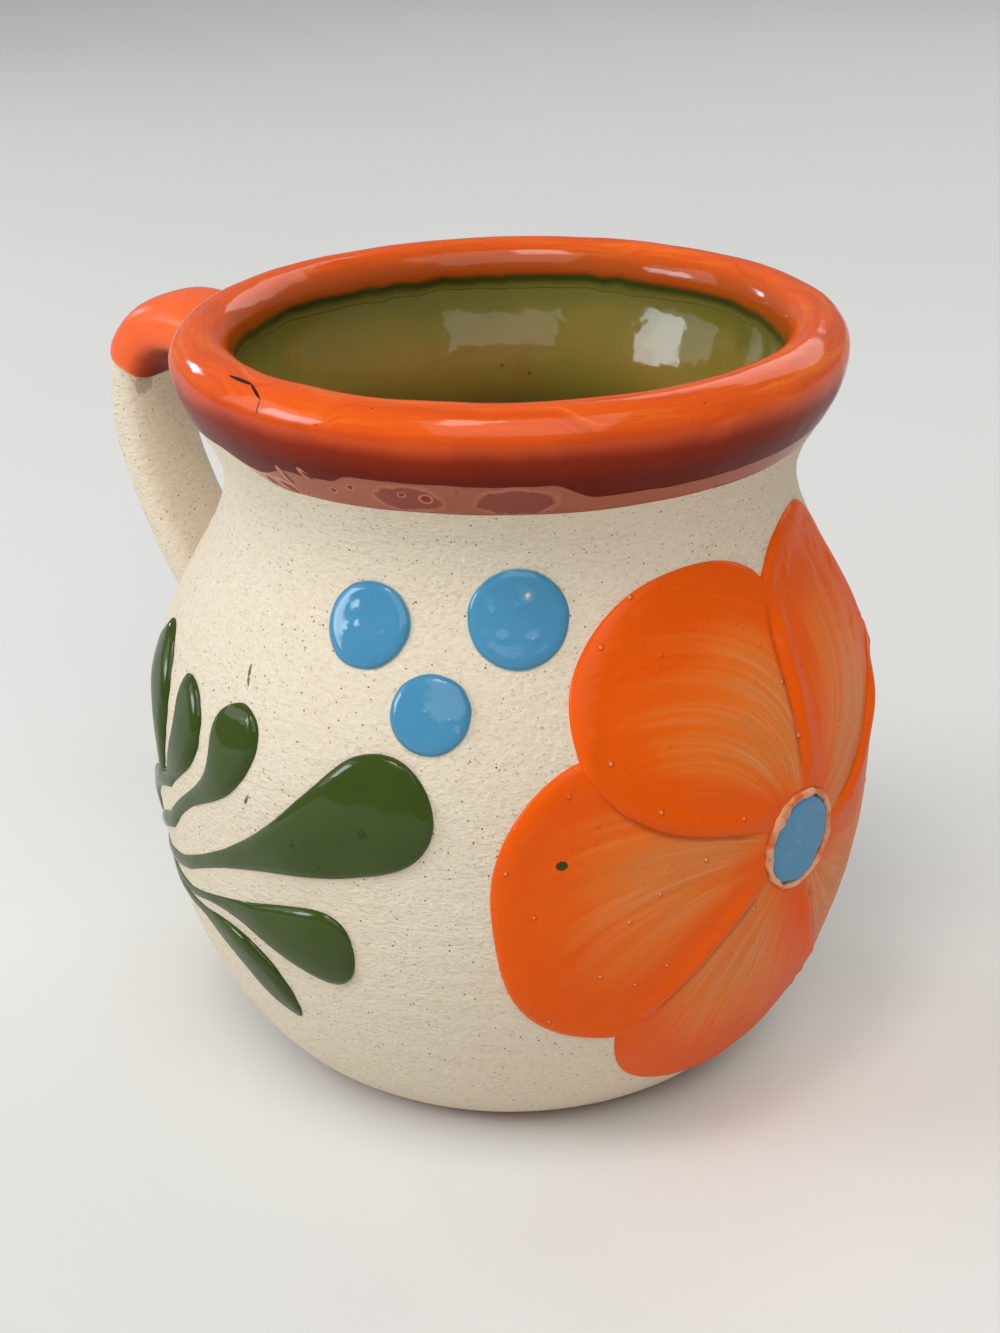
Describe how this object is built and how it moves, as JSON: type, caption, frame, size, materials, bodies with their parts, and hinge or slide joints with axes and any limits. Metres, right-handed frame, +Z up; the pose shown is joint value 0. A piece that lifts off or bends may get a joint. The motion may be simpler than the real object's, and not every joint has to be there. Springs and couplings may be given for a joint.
{
  "type": "clay mug",
  "caption": "Round-bellied clay mug with a rolled, glazed lip, a strap handle, a glazed lining and raised painted flower, leaf and dot ornament, for hot drinks.",
  "frame": {"origin": "centre of the flat foot, on the pot's axis, where the mug stands", "axes": "+Z up along the pot's axis, -X towards the handle, +X towards the painted flower"},
  "size_m": [0.1241, 0.0994, 0.1019],
  "materials": {
    "clay": "bare fired earthenware",
    "slip": "matte sandy cream slip",
    "lining": "glossy olive glaze",
    "wash": "thin satin peach wash",
    "rim": "glossy orange-red glaze",
    "petal": "glossy brushed orange paint",
    "blue": "glossy blue paint",
    "leaf": "glossy dark green paint"
  },
  "bodies": {
    "root": {"clay_body": "clay", "slip_coat": "slip", "inner_glaze": "lining", "rim_wash": "wash", "rim_glaze": "rim", "handle": "slip", "handle_glaze": "rim", "upper_slip_joint": "slip", "lower_slip_joint": "slip", "flower_ring": "wash", "flower_centre": "blue", "petal_1": "petal", "petal_2": "petal", "petal_3": "petal", "petal_4": "petal", "petal_5": "petal", "dot_near_1": "blue", "dot_near_2": "blue", "dot_near_3": "blue", "dot_far_1": "blue", "dot_far_2": "blue", "dot_far_3": "blue", "leaf_near_1": "leaf", "leaf_near_2": "leaf", "leaf_near_3": "leaf", "leaf_near_4": "leaf", "leaf_near_5": "leaf", "leaf_near_6": "leaf", "leaf_far_1": "leaf", "leaf_far_2": "leaf", "leaf_far_3": "leaf", "leaf_far_4": "leaf", "leaf_far_5": "leaf", "leaf_far_6": "leaf"}
  },
  "joints": []
}
